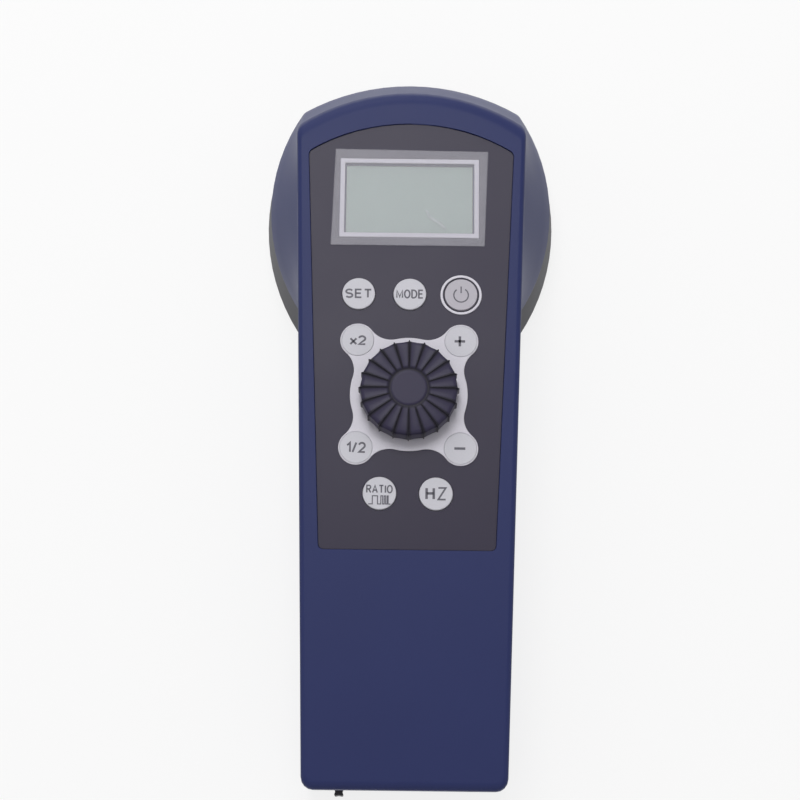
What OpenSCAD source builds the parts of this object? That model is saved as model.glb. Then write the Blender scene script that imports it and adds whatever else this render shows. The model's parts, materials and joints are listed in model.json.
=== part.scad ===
// Handheld stroboscope tachometer, lying on its back with the key panel up.
// X runs across the handle, Y from the handle's end to the lamp head, Z up out of the panel.
// The origin is the middle of the surface that it lies on.

/* [Case] */
// Length over all, from the lamp rim to the strap lug
total_len = 256.7; // [252:0.1:264]
// Height of the front face above the back
case_depth = 44.5; // [44:0.5:50]
// Height of the joint between the front and rear shells
seam_z = 16; // [15:0.5:18]
// Thickness of the shell walls
wall = 2.2; // [1.8:0.1:2.6]
// Thickness of the front shell's face
face_t = 3; // [2.8:0.1:3.4]
// Width of the handle at its end
handle_w = 65.9; // [65:0.1:70]
// Width of the front face at its upper corners
face_w = 79.6; // [78:0.4:84]
// Rise of the front face's arched top edge
face_rise = 12.6; // [12:0.1:15]
// Height of the upper face corners above the lamp axis, along the body
face_up = 24.5; // [23:0.1:25]
// Radius of the upper face corners
face_corner_r = 4; // [3:0.5:5]
// Radius of the two corners at the handle's end
end_corner_r = 4; // [3:0.1:5]
// Rounding of the front edges
edge_r = 1.8; // [1:0.1:2.2]
// Rounding of the face's arched top edge, where it rolls over into the lamp head
shoulder_r = 7; // [5:0.5:8]
// Depth below the face at which the lamp head's flare leaves its side edges
flare_drop = 1.2; // [0.9:0.1:1.6]
// Rounding of the face's edge at the handle's end
toe_r = 3; // [2:0.1:4]
// Rounding of the back edges along the sides
back_r = 5; // [4:0.5:6]
// Rounding of the back edge at the handle's end
heel_r = 10; // [8:0.5:12]
// Lean of the handle's end wall towards the head, for each millimetre down from the face
end_rake = 0.1; // [0.04:0.01:0.12]

/* [Lamp head] */
// Width of the lamp rim, which is as tall as it is wide
rim_w = 102.4; // [100:0.4:106]
// How far the rim stands out past the flared shell on each side
rim_lip = 1.8; // [0.8:0.1:2.2]
// Rise of each of the rim's four bowed sides
rim_bulge = 11.8; // [10.6:0.2:13]
// How much further out the head's two upper corners stand than its lower two
corner_out = 0.9; // [0:0.1:2]
// Radius of the rim's four corners
rim_corner_r = 4; // [3:0.5:8]
// Rounding of the rim's outer edge
rim_edge_r = 1.2; // [0.8:0.2:1.6]
// Diameter of the clear lamp lens
lens_d = 81; // [78:0.5:82]
// Thickness of the lamp lens
lens_t = 2; // [1.5:0.1:2.5]
// Depth of the lens below the rim
lens_recess = 1.6; // [1.2:0.1:2]
// Height of the reflector bowl
bowl_h = 18; // [16:0.5:19]
// Diameter of the glass of the flash tube
tube_d = 5; // [4:0.5:6]
// Distance between the two legs of the flash tube
tube_legs = 14; // [12:0.5:16]

/* [Panel] */
// Depth of the recess that holds the panel overlay
panel_recess = 1; // [0.8:0.1:1.2]
// Thickness of the panel overlay
overlay_t = 0.5; // [0.4:0.05:0.6]
// Width of the panel at its upper corners
panel_w_top = 70.8; // [69:0.4:72]
// Width of the panel at its lower edge
panel_w_low = 58.3; // [58:0.1:60]
// Rise of the panel's arched top edge
panel_rise = 10.5; // [9:0.5:12]
// Distance from the lamp axis to the centre of the dial
dial_below_lamp = 74.1; // [73.5:0.1:76]
// Distance from the dial to the panel's lower edge
panel_below_dial = 53.1; // [51:0.3:54]
// Distance from the dial to the panel's upper corners
panel_above_dial = 86.9; // [86:0.3:88]

/* [Display] */
// Distance from the dial to the middle of the display
display_up = 70; // [69.6:0.1:71]
// How far the display stands to the left of the middle
display_left = 0.5; // [0:0.1:0.8]
// Width of the white display frame
frame_w = 47.6; // [46:0.2:49]
// Height of the white display frame, along the body
frame_h = 28.7; // [28:0.1:30]
// Width of the display frame's border
frame_border = 1.6; // [1.5:0.1:2.2]
// Width of the protective film
film_w = 52.4; // [50:0.1:55]
// Height of the protective film, along the body
film_h = 34.9; // [33:0.1:36]
// Turn of the film against the panel
film_turn = -1; // [-2:0.1:0]

/* [Keys] */
// Diameter of the plain round keys
key_d = 11.1; // [10.6:0.1:11.6]
// Diameter of the four keys on the dial surround
lobe_key_d = 10.8; // [10.4:0.1:11]
// Travel of each key
key_travel = 0.4; // [0.3:0.05:0.5]
// Height of the plain keys above the overlay
key_proud = 0.65; // [0.5:0.05:0.8]
// Distance from the dial to the upper row of keys
upper_row_up = 35.1; // [34.8:0.1:36]
// Distance between neighbouring keys in the upper row
upper_pitch = 17.3; // [17:0.1:18]
// Distance from the dial to the lower row of keys
lower_row_down = 34.1; // [33.5:0.1:35]
// Distance between the two keys in the lower row
lower_pitch = 18.6; // [17.8:0.2:20]
// Diameter of the white ring round the power key
power_ring_d = 14; // [13.8:0.1:14.4]

/* [Dial] */
// Diameter of the dial over its ridges
dial_d = 33.5; // [31:0.5:34.5]
// Number of flutes round the dial
flutes = 20; // [16:1:24]
// Depth of the flutes in the dial's skirt
flute_depth = 0.8; // [0.5:0.1:1.2]
// Height of the dial
dial_h = 8.0; // [7:0.2:10]
// Diameter of the flat disc in the middle of the dial
disc_d = 12.2; // [11:0.2:13]
// Diameter of the white surround under the dial
surround_d = 39.3; // [38.5:0.1:40]
// Diameter of the surround's four lobes
lobe_d = 11.8; // [11.6:0.1:12.2]
// Half the distance between the lobes across the body
lobe_dx = 17.3; // [17:0.1:17.6]
// Half the distance between the lobes along the body
lobe_dy = 18.6; // [18.4:0.1:19]
// Radius of the hollows between the surround and its lobes
lobe_blend_r = 8; // [6:0.5:9]
// Diameter of the dial shaft
shaft_d = 6; // [5:0.5:6.4]

/* [Battery] */
// Diameter of one cell
cell_d = 14.2; // [13.8:0.1:14.4]
// Length of one cell
cell_len = 50.5; // [48:0.5:51]
// Length of the finger ribs' field on the battery cover
grip_len = 14; // [10:1:18]

/* [Fasteners] */
// Diameter of the case screws
screw_d = 3; // [2.6:0.1:3.2]
// Bore of the tripod socket, tapped for a quarter inch camera screw
tripod_bore_d = 5.2; // [5:0.1:5.4]
// Depth of the tripod socket
tripod_depth = 8; // [6:0.5:9]
// Length of the strap lug outside the case
lug_len = 1.9; // [1.5:0.1:4]
// Bore of the trigger socket
jack_d = 3.6; // [3.5:0.05:3.7]

/* [Hidden] */
$fn = 64;

// Clearance of pieces that drop into each other, and of pieces that move past each other.
gap = 0.15;
run = 0.04;
cut = 1;
steps = 4;
side_steps = 16;

// Places along the body.
lamp_y = total_len/2 - rim_w/2;
lug_z = 30;
end_y = -total_len/2 + lug_len - end_rake*(case_depth - lug_z);
face_y = lamp_y + face_up;
dial_y = lamp_y - dial_below_lamp;
panel_y0 = dial_y - panel_below_dial;
panel_y1 = dial_y + panel_above_dial;
display_y = dial_y + display_up;
display_at = [-display_left, display_y];
upper_y = dial_y + upper_row_up;
lower_y = dial_y - lower_row_down;

// Heights of the layers, from the face down.
floor_z = case_depth - panel_recess;
under_z = case_depth - face_t;
overlay_z = floor_z + overlay_t;
surround_t = 0.4;
surround_z = overlay_z + surround_t;
board_t = 1.6;
board_z = under_z - 7.5;
board_top = board_z + board_t;
flash_board_z = 12;

// The outline of the flared shell at the seam, and of the rim behind it.
flare_w = rim_w - 2*rim_lip;
side_bulge = rim_bulge - corner_out/2;
rim_step = 0.3;
aperture_d = lens_d - 4;
rim_screw_r = lens_d/2 + 4.5;
rim_boss_d = screw_d + 3;

// Where the end wall stands at a height.
function end_at(z) = end_y + end_rake*(case_depth - z);

// Half the width of the face at a place along the body.
function half_w(y) = (handle_w + (face_w - handle_w)*(y - end_y)/(face_y - end_y))/2;

// Screw bosses stand against the side walls.
boss_d = screw_d + 3.2;
boss_sink = 0.8;
function boss_x(y) = half_w(y) - wall - boss_d/2 + boss_sink;
boss_mid = 70;
boss_low = 63;
boss_ys = [end_at(0) + heel_r, end_y + boss_mid, lamp_y - boss_low];
bosses = [for (y = boss_ys, s = [-1, 1]) [s*boss_x(y), y]];
rim_bosses = [for (sx = [-1, 1], sy = [-1, 1])
    [sx*rim_screw_r/sqrt(2), lamp_y + sy*rim_screw_r/sqrt(2)]];

// The battery tray holds three cells side by side in two layers.
cell_gap = 0.1;
tray_wall = 0.9;
cell_pitch = cell_d + cell_gap;
tray_in_w = 3*cell_pitch;
tray_w = tray_in_w + 2*tray_wall;
contact_room = 3.6;
tray_in_len = cell_len + contact_room;
tray_y = end_at(0) + heel_r + gap;
tray_len = tray_in_len + 2*tray_wall;
cover_z = 0.25;
cells_z = wall + 1;
tray_top = cells_z + 2*cell_pitch + 1;
cover_w = tray_in_w + 0.6;
cover_len = tray_y - end_y + tray_len - 1.6;
tongue = 0.9;
slot_h = 6.2;

// Key places, each as [x, y].
set_at = [-upper_pitch, upper_y];
mode_at = [0, upper_y];
power_at = [upper_pitch, upper_y];
double_at = [-lobe_dx, dial_y + lobe_dy];
plus_at = [lobe_dx, dial_y + lobe_dy];
half_at = [-lobe_dx, dial_y - lobe_dy];
minus_at = [lobe_dx, dial_y - lobe_dy];
ratio_at = [-lower_pitch/2, lower_y];
hertz_at = [lower_pitch/2, lower_y];
plain_keys = [set_at, mode_at, power_at, ratio_at, hertz_at];
lobe_keys = [double_at, plus_at, half_at, minus_at];
all_keys = concat(plain_keys, lobe_keys);
key_flange = 0.9;
stem_d = 3;
switch_w = 6.2;
switch_h = 3.4;

bush_d = 7;
nut_z = floor_z;
knob_z = surround_z + 0.5;
knob_top = knob_z + dial_h;

blue = [0.20, 0.22, 0.38];
charcoal = [0.25, 0.24, 0.27];
ivory = [0.82, 0.81, 0.85];
black = [0.13, 0.12, 0.15];

// Outline tools. A path is a list of [x, y, corner radius], anticlockwise.

function unit(v) = v/norm(v);
function inward(v) = [-v.y, v.x];
function flat(p) = [p.x, p.y];
function mix(a, b, t) = a + (b - a)*t;

// Moves every side of a path inward by d and shrinks its corner radii with it.
function inset(path, d) = let (n = len(path)) [for (i = [0:n - 1])
    let (
        p = flat(path[(i + n - 1) % n]),
        q = flat(path[i]),
        s = flat(path[(i + 1) % n]),
        a = inward(unit(q - p)),
        b = inward(unit(s - q)),
        shift = (a + b)*d/(1 + a*b),
        r = path[i][2]
    ) [q.x + shift.x, q.y + shift.y, r > 0 ? max(r - d, 0.3) : 0]];

// Rounds one corner q between its neighbours p and s.
function corner(p, q, s, r) = r == 0 ? [q] : let (
    u = unit(p - q),
    w = unit(s - q),
    half = acos(u*w)/2,
    c = q + unit(u + w)*r/sin(half),
    from = q + u*r/tan(half) - c,
    to = q + w*r/tan(half) - c,
    a0 = atan2(from.y, from.x),
    turn = (atan2(to.y, to.x) - a0 + 540) % 360 - 180
) [for (k = [0:steps]) c + r*[cos(a0 + turn*k/steps), sin(a0 + turn*k/steps)]];

// The points of a path, moved inward by d.
function outline(path, d = 0) = let (q = inset(path, d), n = len(q))
    [for (i = [0:n - 1]) each
        corner(flat(q[(i + n - 1) % n]), flat(q[i]), flat(q[(i + 1) % n]), q[i][2])];

// The points between a and b on an arc that rises to the right of the way from a to b.
function bow(a, b, rise) = let (
    h = max(rise, 0.01),
    c = norm(b - a)/2,
    r = (c*c + h*h)/(2*h),
    along = unit(b - a),
    out = -inward(along),
    centre = (a + b)/2 - out*(r - h),
    half = asin(c/r)
) [for (k = [1:side_steps - 1])
    let (t = -half + 2*half*k/side_steps, p = centre + r*(sin(t)*along + cos(t)*out))
    [p.x, p.y, 0]];

// A tapered strip with round corners and an arched top edge.
function shield(w0, y0, r0, w1, y1, r1, rise) = concat(
    [[-w0/2, y0, r0], [w0/2, y0, r0], [w1/2, y1, r1]],
    bow([w1/2, y1], [-w1/2, y1], rise),
    [[-w1/2, y1, r1]]);

// Four bowed sides between two upper and two lower corners.
function pillow(xt, yt, xb, yb, top, side, low, r) = concat(
    [[xb, yb, r]], bow([xb, yb], [xt, yt], side),
    [[xt, yt, r]], bow([xt, yt], [-xt, yt], top),
    [[-xt, yt, r]], bow([-xt, yt], [-xb, yb], side),
    [[-xb, yb, r]], bow([-xb, yb], [xb, yb], low));

function rim_path(w) = let (c = w/2 - rim_bulge, u = c + corner_out)
    pillow(u, lamp_y + u, c, lamp_y - c, rim_bulge - corner_out, side_bulge, rim_bulge, rim_corner_r);

// The circle of the face's arched top edge.
arch_r = (face_w*face_w/4 + face_rise*face_rise)/(2*face_rise);
arch_y = face_y + face_rise - arch_r;

// The case outline with its sides, its end and its arched top moved inward by their own amounts.
function case_path(side, end, top) = let (
    y0 = end_y + end,
    r = arch_r - top,
    guess = half_w(face_y) - side,
    x1 = half_w(arch_y + sqrt(r*r - guess*guess)) - side,
    y1 = arch_y + sqrt(r*r - x1*x1)
) shield(2*(half_w(y0) - side), y0, max(end_corner_r - min(side, end), 0.3),
    2*x1, y1, max(face_corner_r - min(side, top), 0.3), arch_y + r - y1);

// How far a rounded edge of radius r has drawn in at a depth z below its flat, measured to the
// surface d inside it.
function roll(r, d, z) = z >= r ? d : r - sqrt(max(pow(r - d, 2) - pow(r - z, 2), 0));
function front_path(drop, d = 0) = case_path(roll(edge_r, d, drop),
    roll(toe_r, d, drop) + end_rake*drop, roll(shoulder_r, d, drop));
function rear_path(z, d = 0) = case_path(roll(back_r, d, z),
    roll(heel_r, d, z) + end_rake*(case_depth - z), d);
seam_drop = case_depth - seam_z;
panel_path = shield(panel_w_low, panel_y0, 1.8, panel_w_top, panel_y1, 2.6, panel_rise);

// The flare's outline at height z. Its sides leave the face's edges just below the face, and its
// top follows the arched shoulder's roll down to half the roll's depth before it flares too.
flare_in = 0.2;
flare_top = case_depth - flare_drop;
flare_turn = case_depth - shoulder_r/2;
flare_low = seam_z + 1.5;
function flare_path(z) = let (
    c = flare_w/2 - rim_bulge,
    yb = lamp_y - c,
    t = (flare_top - z)/(flare_top - flare_low),
    u = max(0, (flare_turn - z)/(flare_turn - flare_low)),
    above = max(0, z - flare_turn),
    y0 = arch_y + arch_r - roll(shoulder_r, 0, shoulder_r/2 - above) - flare_in - above/3
        - face_rise
) pillow(
    mix(face_w/2 - flare_in, c + corner_out, t), mix(y0, lamp_y + c + corner_out, u),
    mix(half_w(yb) - flare_in, c, t), yb,
    mix(face_rise, rim_bulge - corner_out, u), mix(0, side_bulge, t), mix(0, rim_bulge, t),
    mix(face_corner_r, rim_corner_r, t));
flare_heights = concat([for (k = [4:-1:0]) mix(flare_turn, flare_low, k/4)],
    [for (k = [2:-1:0]) mix(flare_top, flare_turn, k/3)]);

// A solid through outlines at rising heights, each level given as [height, points].
module skin(levels) {
    shell([for (l = levels) [for (p = l[1]) [p.x, p.y, l[0]]]]);
}

// A solid through closed rings of points, with its first and last ring filled in.
module shell(rings) {
    n = len(rings[0]);
    last = len(rings) - 1;
    points = [for (ring = rings) each ring];
    sides = [for (k = [0:last - 1], i = [0:n - 1])
        let (a = k*n + i, b = k*n + (i + 1) % n) each [[a, a + n, b + n], [a, b + n, b]]];
    polyhedron(points, concat([[for (i = [0:n - 1]) i]],
        [[for (i = [n - 1:-1:0]) last*n + i]], sides));
}

module prism(points, z0, z1) {
    translate([0, 0, z0]) linear_extrude(z1 - z0) polygon(points);
}

module rod(p, d, z0, z1) {
    translate([p.x, p.y, z0]) cylinder(d = d, h = z1 - z0);
}

module block(p, size, z0) {
    translate([p.x - size.x/2, p.y - size.y/2, z0]) cube(size);
}

// Shells

// Depths at which the front edges' roundings are drawn, the deepest first.
front_drops = concat(
    [for (k = [3:-1:1]) mix(edge_r, shoulder_r, k/3)],
    [for (k = [4:-1:0]) edge_r*(1 - cos(22.5*k))]);

module front_shell() {
    color(blue) difference() {
        union() {
            difference() {
                union() {
                    skin(concat([[seam_z, outline(front_path(seam_drop))]],
                        [for (drop = front_drops) [case_depth - drop, outline(front_path(drop))]]));
                    skin(concat([[seam_z, outline(flare_path(flare_low))]],
                        [for (z = flare_heights) [z, outline(flare_path(z))]]));
                }
                skin(concat([[seam_z - cut, outline(front_path(seam_drop + cut, wall))]],
                    [for (k = [3:-1:0]) let (drop = mix(face_t, shoulder_r, k/3))
                        [case_depth - drop, outline(front_path(drop, wall))]]));
                skin(concat([[seam_z - cut, outline(flare_path(flare_low), wall)]],
                    [for (k = [4:-1:0]) let (z = mix(flare_turn - 1, flare_low, k/4))
                        [z, outline(flare_path(z), wall)]]));
            }
            for (p = bosses) rod(p, boss_d, seam_z, under_z + cut);
            for (p = board_posts) rod(p, post_d, board_top, under_z + cut);
            for (p = rim_bosses) if (p.y < lamp_y) rod(p, rim_boss_d, seam_z, under_z + cut);
            intersection() {
                for (p = rim_bosses) if (p.y > lamp_y) rod(p, rim_boss_d, seam_z, under_z);
                skin(concat([[seam_z, outline(flare_path(flare_low), wall/2)]],
                    [for (k = [4:-1:0]) let (z = mix(flare_turn - 0.5, flare_low, k/4))
                        [z, outline(flare_path(z), wall/2)]]));
            }
        }
        prism(outline(panel_path), floor_z, case_depth + cut);
        for (p = bosses) rod(p, screw_d - 0.5, seam_z - cut, seam_z + case_bite + 4);
        for (p = rim_bosses) rod(p, screw_d - 0.5, seam_z - cut, seam_z + rim_bite + 1);
        for (p = board_posts) rod(p, board_screw_d - 0.4, board_top - cut, board_top + board_bite + 0.5);
        for (p = plain_keys) rod(p, key_d + 4*gap, under_z - cut, case_depth);
        for (p = lobe_keys) rod(p, lobe_key_d + 4*gap, under_z - cut, case_depth);
        rod([0, dial_y], bush_d + 2*gap, under_z - cut, case_depth);
        block(display_at, [window_w + 2*gap, window_h + 2*gap, cut + 1], floor_z - window_t);
        block(display_at, [window_w - 2, window_h - 2, face_t + cut], under_z - cut);
        translate([jack_x, end_y - cut, jack_z]) rotate([-90, 0, 0])
            cylinder(d = jack_d + 2.4 + 2*gap, h = wall + 4*cut);
        translate([lug_x, end_at(lug_z) + wall/2, lug_z])
            cube([lug_w + 2*gap, wall + 3*cut, lug_h + 2*gap], center = true);
    }
}

// The rear shell's outer form, or with d its inner form that far inside.
module rear_skin(d = 0) {
    heights = concat([for (k = [0:4]) d + (back_r - d)*(1 - cos(22.5*k))],
        [for (k = [1:3]) mix(back_r, heel_r, k/3)], [d > 0 ? seam_z + cut : seam_z]);
    skin([for (z = heights) [z, outline(rear_path(z, d))]]);
}

// Everything at the head's end of the handle, up to the lamp rim's outline moved out by d.
module behind_rim(d) {
    difference() {
        block([0, end_y + total_len/2], [2*face_w, total_len, seam_z + 2*cut], -cut);
        prism(outline(rim_path(rim_w), -d), -2*cut, seam_z + 2*cut);
        block([0, lamp_y + rim_w/2], [2*face_w, rim_w, seam_z + 4*cut], -2*cut);
    }
}

module rear_shell() {
    color(blue) difference() {
        union() {
            difference() {
                intersection() {
                    rear_skin();
                    behind_rim(gap);
                }
                intersection() {
                    rear_skin(wall);
                    behind_rim(gap + wall);
                }
            }
            for (p = bosses) rod(p, boss_d, wall/2, seam_z);
            rod([0, tripod_y], tripod_boss_d, wall/2, wall/2 + tripod_depth + 1);
            for (p = flash_posts) rod(p, post_d, wall/2, flash_board_z);
        }
        for (p = bosses) {
            rod(p, screw_d + 0.4, -cut, seam_z + cut);
            rod(p, head_d + 0.4, -cut, head_z + head_h);
        }
        for (p = flash_posts) rod(p, board_screw_d - 0.4, wall + 1, flash_board_z + cut);
        rod([0, tripod_y], insert_d, -cut, wall/2 + tripod_depth);
        block([0, end_y + cover_len/2 - cut/2], [cover_w, cover_len + cut, wall + 2*cut], -cut);
        block([0, end_y + cover_len/2 - cut/2],
            [cover_w + 2*tongue, cover_len + cut, tongue_h + 2*gap], tongue_z - gap);
        block([0, (end_y + end_at(0) + heel_r - cut)/2],
            [cover_w, end_at(0) + heel_r - end_y + cut, slot_h + cut], -cut);
    }
}

// Places of the small posts, sockets and heads that the shells above are cut for.
post_d = 5;
board_screw_d = 2.4;
board_head_d = 4.4;
post_up = [24.8, 47.2];
post_down = [22, -46.4];
board_posts = [for (p = [post_up, post_down], s = [-1, 1]) [s*p.x, dial_y + p.y]];
flash_y0 = tray_y + tray_len + 2.5;
flash_y1 = lamp_y - rim_w/2 - wall - 2.4;
flash_post = [21, 4];
flash_posts = [for (y = [flash_y0 + flash_post.y, flash_y1 - flash_post.y], s = [-1, 1])
    [s*flash_post.x, y]];
tripod_down = 24;
tripod_y = dial_y - tripod_down;
insert_d = tripod_bore_d + 4.4;
tripod_boss_d = insert_d + 3.2;
head_d = screw_d + 2.4;
head_z = 1.6;
head_h = 1.8;
tongue_z = 0.9;
tongue_h = 0.6;
window_t = 0.9;
window_w = frame_w - 2*frame_border + 1.2;
window_h = frame_h - 2*frame_border + 1.2;
jack_x = 21;
jack_z = board_top + 2.7;
lug_x = -21.1;
lug_w = 2.8;
lug_h = 4;

module battery_cover() {
    inner = cover_w - 2*gap;
    color(blue) difference() {
        intersection() {
            rear_skin();
            union() {
                block([0, end_y + (cover_len - gap)/2], [inner, cover_len - gap, slot_h - gap - cover_z],
                    cover_z);
                block([0, end_y + (cover_len - gap)/2],
                    [inner + 2*tongue - 2*gap, cover_len - gap, tongue_h], tongue_z);
            }
        }
        rear_skin(wall - gap);
        for (k = [0:5]) block([0, end_y + cover_len - 8 - k*grip_len/5], [24, 1.2, 0.5 + cut],
            cover_z - cut);
    }
}

// Lamp head

module lamp_rim() {
    floor_t = lens_recess;
    mid = floor_t + lens_t + 3;
    color([0.36, 0.36, 0.36]) difference() {
        skin(concat(
            [for (k = [0:3]) let (a = 30*k)
                [rim_edge_r*(1 - cos(a)), outline(rim_path(rim_w), rim_edge_r*(1 - sin(a)))]],
            [[seam_z, outline(rim_path(flare_w - 2*rim_step))]]));
        rod([0, lamp_y], aperture_d, -cut, seam_z + cut);
        rod([0, lamp_y], lens_d + 2*gap, floor_t, seam_z + cut);
        translate([0, 0, mid]) linear_extrude(seam_z) difference() {
            polygon(outline(rim_path(flare_w - 2*rim_step), wall));
            translate([0, lamp_y]) circle(d = lens_d + 2*gap + 2.4);
            for (p = rim_bosses) translate(p) circle(d = rim_boss_d);
        }
        for (p = rim_bosses) {
            rod(p, screw_d + 0.4, -cut, seam_z + cut);
            rod(p, head_d + 0.4, -cut, head_z + head_h);
        }
    }
}

lens_top = lens_recess + lens_t;
seal_t = 0.8;
bowl_z = lens_top + seal_t;
bowl_t = 1.2;
bowl_top = bowl_z + bowl_h;
socket_d = tube_legs + 9;
socket_h = 7;
socket_z = bowl_top + bowl_t;

module lamp_lens() {
    color([0.85, 0.9, 0.95, 0.35]) rod([0, lamp_y], lens_d, lens_recess, lens_top);
}

module lens_seal() {
    color(black) difference() {
        rod([0, lamp_y], lens_d, lens_top, bowl_z);
        rod([0, lamp_y], aperture_d - 1, lens_top - cut, bowl_z + cut);
    }
}

// The bowl's inner radius at a height above its mouth, from the parabola that it follows.
bowl_mouth = aperture_d/2 - 1;
function bowl_r(h) = bowl_mouth*sqrt(1 - h/(bowl_h + 1.6));

module reflector() {
    profile = concat(
        [for (k = [0:10]) [bowl_r(bowl_h*k/10), bowl_h*k/10]],
        [[0, bowl_h], [0, bowl_h + bowl_t]],
        [for (k = [10:-1:1]) [bowl_r(bowl_h*k/10) + bowl_t, bowl_h*k/10 + bowl_t*k/10]],
        [[bowl_mouth + bowl_t, bowl_t], [lens_d/2, bowl_t], [lens_d/2, 0]]);
    color([0.86, 0.87, 0.9]) difference() {
        translate([0, lamp_y, bowl_z]) rotate_extrude($fn = 96) polygon(profile);
        for (s = [-1, 1]) rod([s*tube_legs/2, lamp_y], tube_d + 1.2, bowl_z + bowl_h - cut,
            bowl_top + bowl_t + cut);
    }
}

module tube_socket() {
    color([0.9, 0.88, 0.84]) difference() {
        rod([0, lamp_y], socket_d, socket_z, socket_z + socket_h);
        for (s = [-1, 1]) rod([s*tube_legs/2, lamp_y], tube_d + 2*gap, socket_z - cut, socket_z + socket_h - 2);
    }
}

module flash_tube() {
    bend_z = bowl_z + 3 + tube_legs/2 + tube_d/2;
    color([0.9, 0.93, 1, 0.5]) union() {
        for (s = [-1, 1]) rod([s*tube_legs/2, lamp_y], tube_d, bend_z, socket_z + socket_h - 2);
        translate([0, lamp_y, bend_z]) rotate([-90, 0, 0]) rotate_extrude(angle = 180)
            translate([tube_legs/2, 0]) circle(d = tube_d);
    }
}

lead_d = 1.6;
lead_x = 4;
module lamp_leads() {
    lead_y = flash_y1 - lead_d - 0.4;
    lead_z = socket_z + socket_h - 2;
    color([0.7, 0.15, 0.12]) difference() {
        for (x = [-lead_x, lead_x]) {
            rod([x, lead_y], lead_d, flash_board_z + board_t, lead_z);
            translate([x, lead_y, lead_z]) sphere(d = lead_d);
            translate([x, lead_y, lead_z]) rotate([-90, 0, 0]) cylinder(d = lead_d, h = lamp_y - lead_y);
        }
        rod([0, lamp_y], socket_d + 0.1, socket_z - cut, socket_z + socket_h + cut);
    }
}

// Flash supply in the handle

flash_board_w = 50;
flash_len = flash_y1 - flash_y0;
can_d = 17;
can_x = flash_board_w/4 - 0.5;
core = [20, 17, 4];
core_leg = 13;
core_h = 15;
coil_d = 9;
coil_len = 16;
coil_lip = 1.5;
module flash_board() {
    color([0.1, 0.35, 0.2]) difference() {
        block([0, (flash_y0 + flash_y1)/2], [flash_board_w, flash_y1 - flash_y0, board_t], flash_board_z);
        for (p = flash_posts) rod(p, board_screw_d + 0.4, flash_board_z - cut, flash_board_z + 2*cut + 1);
    }
}

part_z = flash_board_z + board_t;
module flash_capacitor() {
    color([0.15, 0.2, 0.45]) translate([can_x, flash_y0 + 0.145*flash_len, part_z + can_d/2])
        rotate([-90, 0, 0]) difference() {
            cylinder(d = can_d, h = 0.47*flash_len);
            translate([0, 0, can_d/4]) rotate_extrude() translate([can_d/2, 0]) circle(d = can_d/17);
        }
}

module step_up_transformer() {
    at = [-can_x, flash_y0 + 0.34*flash_len];
    color([0.75, 0.6, 0.2]) difference() {
        union() {
            block(at, core, part_z);
            block(at, core, part_z + core_h - core.z);
            rod(at, core_leg, part_z, part_z + core_h);
        }
        rod(at, core_leg/4, part_z - cut, part_z + core_h + cut);
    }
}

module trigger_coil() {
    color([0.85, 0.8, 0.7]) translate([-coil_d, flash_y1 - 0.21*flash_len, part_z + coil_d/2])
        rotate([0, 90, 0]) union() {
            cylinder(d = coil_d, h = coil_lip);
            cylinder(d = coil_d - 2, h = coil_len);
            translate([0, 0, coil_len - coil_lip]) cylinder(d = coil_d, h = coil_lip);
        }
}

// Main board and what stands on it

board_narrow = 50;
board_wide = 2*(boss_x(dial_y + post_down.y) - boss_d/2) - 1.4;
board_y0 = end_at(board_z) + wall + 1.2;
board_y1 = display_y + 21;
board_step = boss_ys[1] + boss_d/2 + 1.5;

module main_board() {
    color([0.08, 0.32, 0.22]) difference() {
        union() {
            block([0, (board_y0 + board_step)/2], [board_narrow, board_step - board_y0, board_t], board_z);
            block([0, (board_step + board_y1)/2], [board_wide, board_y1 - board_step, board_t], board_z);
        }
        for (p = board_posts) rod(p, board_screw_d + 0.4, board_z - cut, board_top + cut);
    }
}

chip_w = 12;
pin_pitch = chip_w/10;
module control_chip() {
    at = [0, board_step - 1.5*chip_w];
    pin = [1.6, 0.5, 0.5];
    out = chip_w/2 + 0.6;
    color(black) union() {
        block(at, [chip_w, chip_w, 1.4], board_top + 0.2);
        for (s = [-1, 1], k = [-4:4]) {
            block(at + [s*out, k*pin_pitch], pin, board_top);
            block(at + [k*pin_pitch, s*out], [pin.y, pin.x, pin.z], board_top);
        }
    }
}

module key_switches() {
    color(black) for (p = all_keys) difference() {
        block(p, [switch_w, switch_w, switch_h], board_top);
        rod(p, stem_d + 4*run, board_top + 1, board_top + switch_h + cut);
    }
}

encoder_h = under_z - board_top - 0.1;
encoder_w = 12.4;
module dial_encoder() {
    color([0.6, 0.62, 0.6]) difference() {
        union() {
            block([0, dial_y], [encoder_w, encoder_w + 0.8, encoder_h], board_top);
            rod([0, dial_y], bush_d, board_top + encoder_h - cut, floor_z + 3);
        }
        rod([0, dial_y], shaft_d + 2*run, board_top + 1, floor_z + 3 + cut);
    }
}

module encoder_nut() {
    color([0.7, 0.7, 0.72]) difference() {
        translate([0, dial_y, nut_z]) cylinder(d = bush_d + 4.4, h = 2, $fn = 6);
        rod([0, dial_y], bush_d + 0.1, nut_z - cut, nut_z + 3);
    }
}

module trigger_socket() {
    body = [7, 12, 5.4];
    color(black) translate([jack_x, end_at(jack_z - body.z/2) + wall, jack_z]) difference() {
        union() {
            translate([-body.x/2, 0, -body.z/2]) cube(body);
            translate([0, 0.3 - wall, 0]) rotate([-90, 0, 0]) cylinder(d = jack_d + 2.4, h = wall);
        }
        translate([0, -wall - cut, 0]) rotate([-90, 0, 0]) cylinder(d = jack_d, h = wall + cut + 10.5);
    }
}

// Display

module display_frame() {
    color(ivory) difference() {
        block(display_at, [frame_w, frame_h, overlay_t + 0.15], floor_z);
        block(display_at, [frame_w - 2*frame_border, frame_h - 2*frame_border, 4], floor_z - cut);
    }
}

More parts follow.
